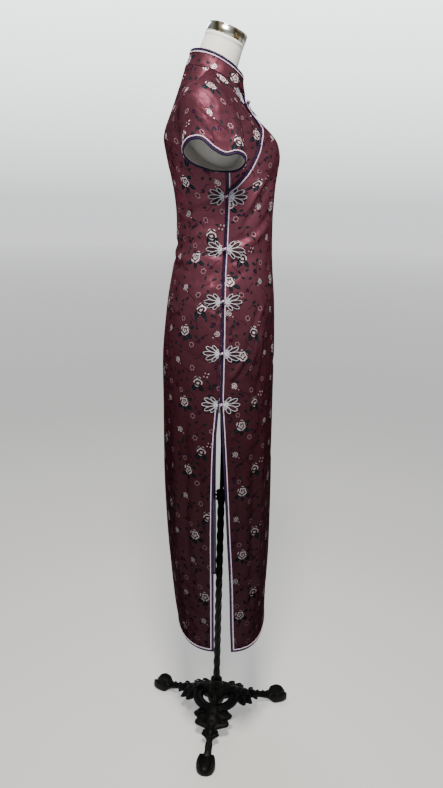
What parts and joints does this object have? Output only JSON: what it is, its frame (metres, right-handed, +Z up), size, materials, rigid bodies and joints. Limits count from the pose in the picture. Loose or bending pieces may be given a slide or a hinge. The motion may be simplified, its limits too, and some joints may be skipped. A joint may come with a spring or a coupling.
{
  "type": "cheongsam dress on a dress form",
  "caption": "Fitted long cheongsam in flowered satin with stand collar, short sleeves, bound side slits and flower-shaped frog fastenings, on a limbless form with a pole and cast tripod.",
  "frame": {"origin": "middle of the whole object's footprint on the floor, 11.3 mm in front of the pole's axis", "axes": "+Z up along the pole, the garment's front faces -Y and its closed side (the wearer's right) faces -X"},
  "size_m": [0.4494, 0.3755, 1.6916],
  "materials": {
    "brocade": "satin with woven flowers",
    "lining": "smooth lining satin",
    "binding": "satin bias binding",
    "piping": "satin piping",
    "cord": "satin cord",
    "cover": "stretched jersey",
    "cap": "brushed",
    "rod_iron": "satin black",
    "cast_base": "black, cast"
  },
  "bodies": {
    "stand": {"tripod": "cast_base", "twisted_pole": "rod_iron", "clamp": "rod_iron"},
    "form": {"front_panel": "brocade", "back_panel": "brocade", "under_flap": "brocade", "collar": "brocade", "sleeve_right": "brocade", "sleeve_left": "brocade", "sleeve_lining_right": "lining", "sleeve_lining_left": "lining", "front_binding": "binding", "front_piping": "piping", "back_binding": "binding", "back_piping": "piping", "under_flap_binding": "binding", "under_flap_piping": "piping", "collar_binding": "binding", "collar_piping": "piping", "sleeve_right_binding": "binding", "sleeve_right_piping": "piping", "sleeve_left_binding": "binding", "sleeve_left_piping": "piping", "frog_side_1_front_wing": "cord", "frog_side_1_back_wing": "cord", "frog_side_1_knot": "binding", "frog_side_2_front_wing": "cord", "frog_side_2_back_wing": "cord", "frog_side_2_knot": "binding", "frog_side_3_front_wing": "cord", "frog_side_3_back_wing": "cord", "frog_side_3_knot": "binding", "frog_side_4_front_wing": "cord", "frog_side_4_back_wing": "cord", "frog_side_4_knot": "binding", "frog_side_5_front_wing": "cord", "frog_side_5_back_wing": "cord", "frog_side_5_knot": "binding", "frog_chest_front_wing": "cord", "frog_chest_flap_wing": "cord", "frog_chest_knot": "binding", "form_torso": "cover", "form_cap": "cap", "rod": "rod_iron"},
    "clamp_screw": {"clamp_screw": "rod_iron"}
  },
  "joints": [
    {"name": "height_slide", "type": "slide", "parent": "stand", "child": "form", "axis": [0, 0, 1], "range_m": [-0.12, 0.1]},
    {"name": "screw_turn", "type": "hinge", "parent": "stand", "child": "clamp_screw", "pos_m": [0, 0.0313, 0.6403], "axis": [0, 1, 0], "continuous": true}
  ]
}
